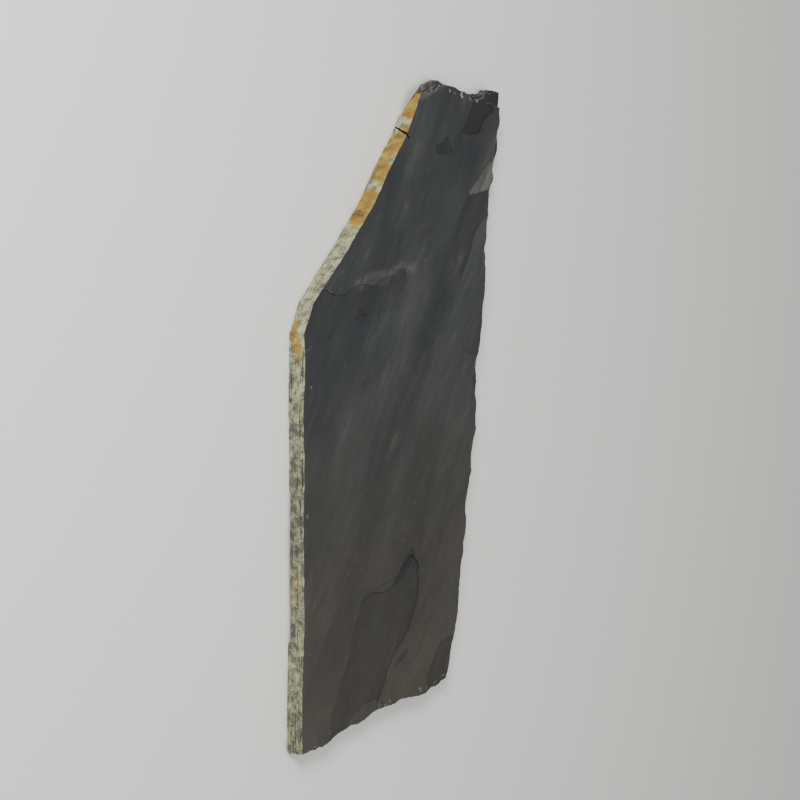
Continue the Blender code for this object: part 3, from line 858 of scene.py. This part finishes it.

    # all of them, with the bruised arrises, and the dark marks over them, which are partly painted shade in
    # the cracks and under the flakes' steps
    sides = add(tree, "ShaderNodeMix", {"Factor": mark["crust"], "A": broken, "B": crust},
                data_type="RGBA")
    colour = add(tree, "ShaderNodeMix", {"Factor": mark["edge"], "A": face, "B": sides},
                 data_type="RGBA")
    bruise = add(tree, "ShaderNodeMath", {0: mark["wear"], 1: blotches}, operation="MULTIPLY")
    bruise = add(tree, "ShaderNodeMapRange", {"Value": bruise, "From Min": 0.30, "From Max": 0.62,
                                              "To Max": 0.6})
    unjointed = add(tree, "ShaderNodeMath", {0: 1.0, 1: mark["joint"]}, operation="SUBTRACT")
    bruise = add(tree, "ShaderNodeMath", {0: bruise, 1: unjointed}, operation="MULTIPLY")
    bruise = add(tree, "ShaderNodeMath", {0: bruise, 1: mark["bruise"]}, operation="MAXIMUM")
    colour = add(tree, "ShaderNodeMix", {"Factor": bruise, "A": colour, "B": look["arris"]},
                 data_type="RGBA")
    # dark marks: dark flakes and pits, and painted shade in cracks and along steps
    share = add(tree, "ShaderNodeMath", {0: mark["dark"], 1: 0.8}, operation="MULTIPLY")
    colour = add(tree, "ShaderNodeMix", {"Factor": share, "A": colour, "B": look["core"]},
                 data_type="RGBA")

    # roughness and fine relief
    faceRough = add(tree, "ShaderNodeMapRange", {"Value": clouds, "From Min": 0.35, "From Max": 0.65,
                                                 "To Min": look["faceRoughness"][0],
                                                 "To Max": look["faceRoughness"][1]})
    rough = add(tree, "ShaderNodeMix", {"Factor": mark["edge"], "A": faceRough, "B": look["edgeRoughness"]},
                data_type="FLOAT")
    sideRelief = add(tree, "ShaderNodeMix", {"Factor": mark["crust"], "A": layers, "B": blotches},
                     data_type="FLOAT")
    relief = add(tree, "ShaderNodeMix", {"Factor": mark["edge"], "A": cleft, "B": sideRelief},
                 data_type="FLOAT")
    bump = add(tree, "ShaderNodeBump", {"Height": relief, "Strength": 0.6, "Distance": look["bumpDepth"]})

    shader = tree.nodes["Principled BSDF"]
    shader.inputs["Specular IOR Level"].default_value = look["specular"]
    for name, source in (("Base Color", colour), ("Roughness", rough), ("Normal", bump)):
        tree.links.new(next(item for item in source.outputs if item.enabled), shader.inputs[name])
    print("slate material made:", len(tree.nodes), "nodes")
    return material


slab = makeSlab()
slab.data.materials.append(slateMaterial())
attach(slab, "root")
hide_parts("slab")


# What a user would change about the studio, in metres and watts.
studio = {
    "floorColour": "#F0EFEC", "floorHalf": 12.0, "floorRoughness": 0.9,
    "skyColour": "#F2F2F2", "skyStrength": 0.5,
    "lights": {
        "keyLight": {"place": (-3.3, 2.3, 1.75), "size": 1.1, "power": 205},
        "topLight": {"place": (-0.6, -0.4, 3.6), "size": 2.4, "power": 45},
    },
    "lens": 86.0, "sensor": 36.0,  # millimetres
    "cameraPlace": (-2.973, 0.55, 1.73),
    "cameraAim": (0.0, 0.0, 0.016),  # the middle of the slab
    "cameraUp": (0.1287, 0.9875, -0.0912),  # close to the slab's length
}


def makeFloor():
    # matt white paint: no gloss, so that only the slab's own shadow shows on it
    patch = bmesh.new()
    bmesh.ops.create_grid(patch, x_segments=1, y_segments=1, size=studio["floorHalf"])
    mesh = bpy.data.meshes.new("floor")
    patch.to_mesh(mesh)
    patch.free()
    floor = bpy.data.objects.new("floor", mesh)
    bpy.context.scene.collection.objects.link(floor)
    material = bpy.data.materials.new("paleFloor")
    material.use_nodes = True
    shader = material.node_tree.nodes["Principled BSDF"]
    shader.inputs["Base Color"].default_value = toLinear(studio["floorColour"])
    shader.inputs["Roughness"].default_value = studio["floorRoughness"]
    mesh.materials.append(material)


def makeLight(name, place, size, power):
    # a soft square light aimed at the middle of the scene
    light = bpy.data.lights.new(name, "AREA")
    light.size = size
    light.energy = power
    lamp = bpy.data.objects.new(name, light)
    lamp.location = place
    lamp.rotation_euler = (-Vector(place)).to_track_quat("-Z", "Y").to_euler()
    bpy.context.scene.collection.objects.link(lamp)


def makeCamera():
    # turned on its side, so that the slab's peak is up, as when a slab stands on its foot
    lens = bpy.data.cameras.new("camera")
    lens.sensor_width = studio["sensor"]
    lens.lens = studio["lens"]
    camera = bpy.data.objects.new("camera", lens)
    camera.location = studio["cameraPlace"]
    back = (camera.location - Vector(studio["cameraAim"])).normalized()
    right = Vector(studio["cameraUp"]).cross(back).normalized()
    camera.rotation_euler = Matrix((right, back.cross(right), back)).transposed().to_euler()
    bpy.context.scene.collection.objects.link(camera)
    bpy.context.scene.camera = camera


def makeSky():
    world = bpy.data.worlds.new("studio")
    world.use_nodes = True
    backdrop = world.node_tree.nodes["Background"]
    backdrop.inputs["Color"].default_value = toLinear(studio["skyColour"])
    backdrop.inputs["Strength"].default_value = studio["skyStrength"]
    bpy.context.scene.world = world


makeFloor()
makeSky()
for name, light in studio["lights"].items():
    makeLight(name, light["place"], light["size"], light["power"])
makeCamera()
print("studio set up")
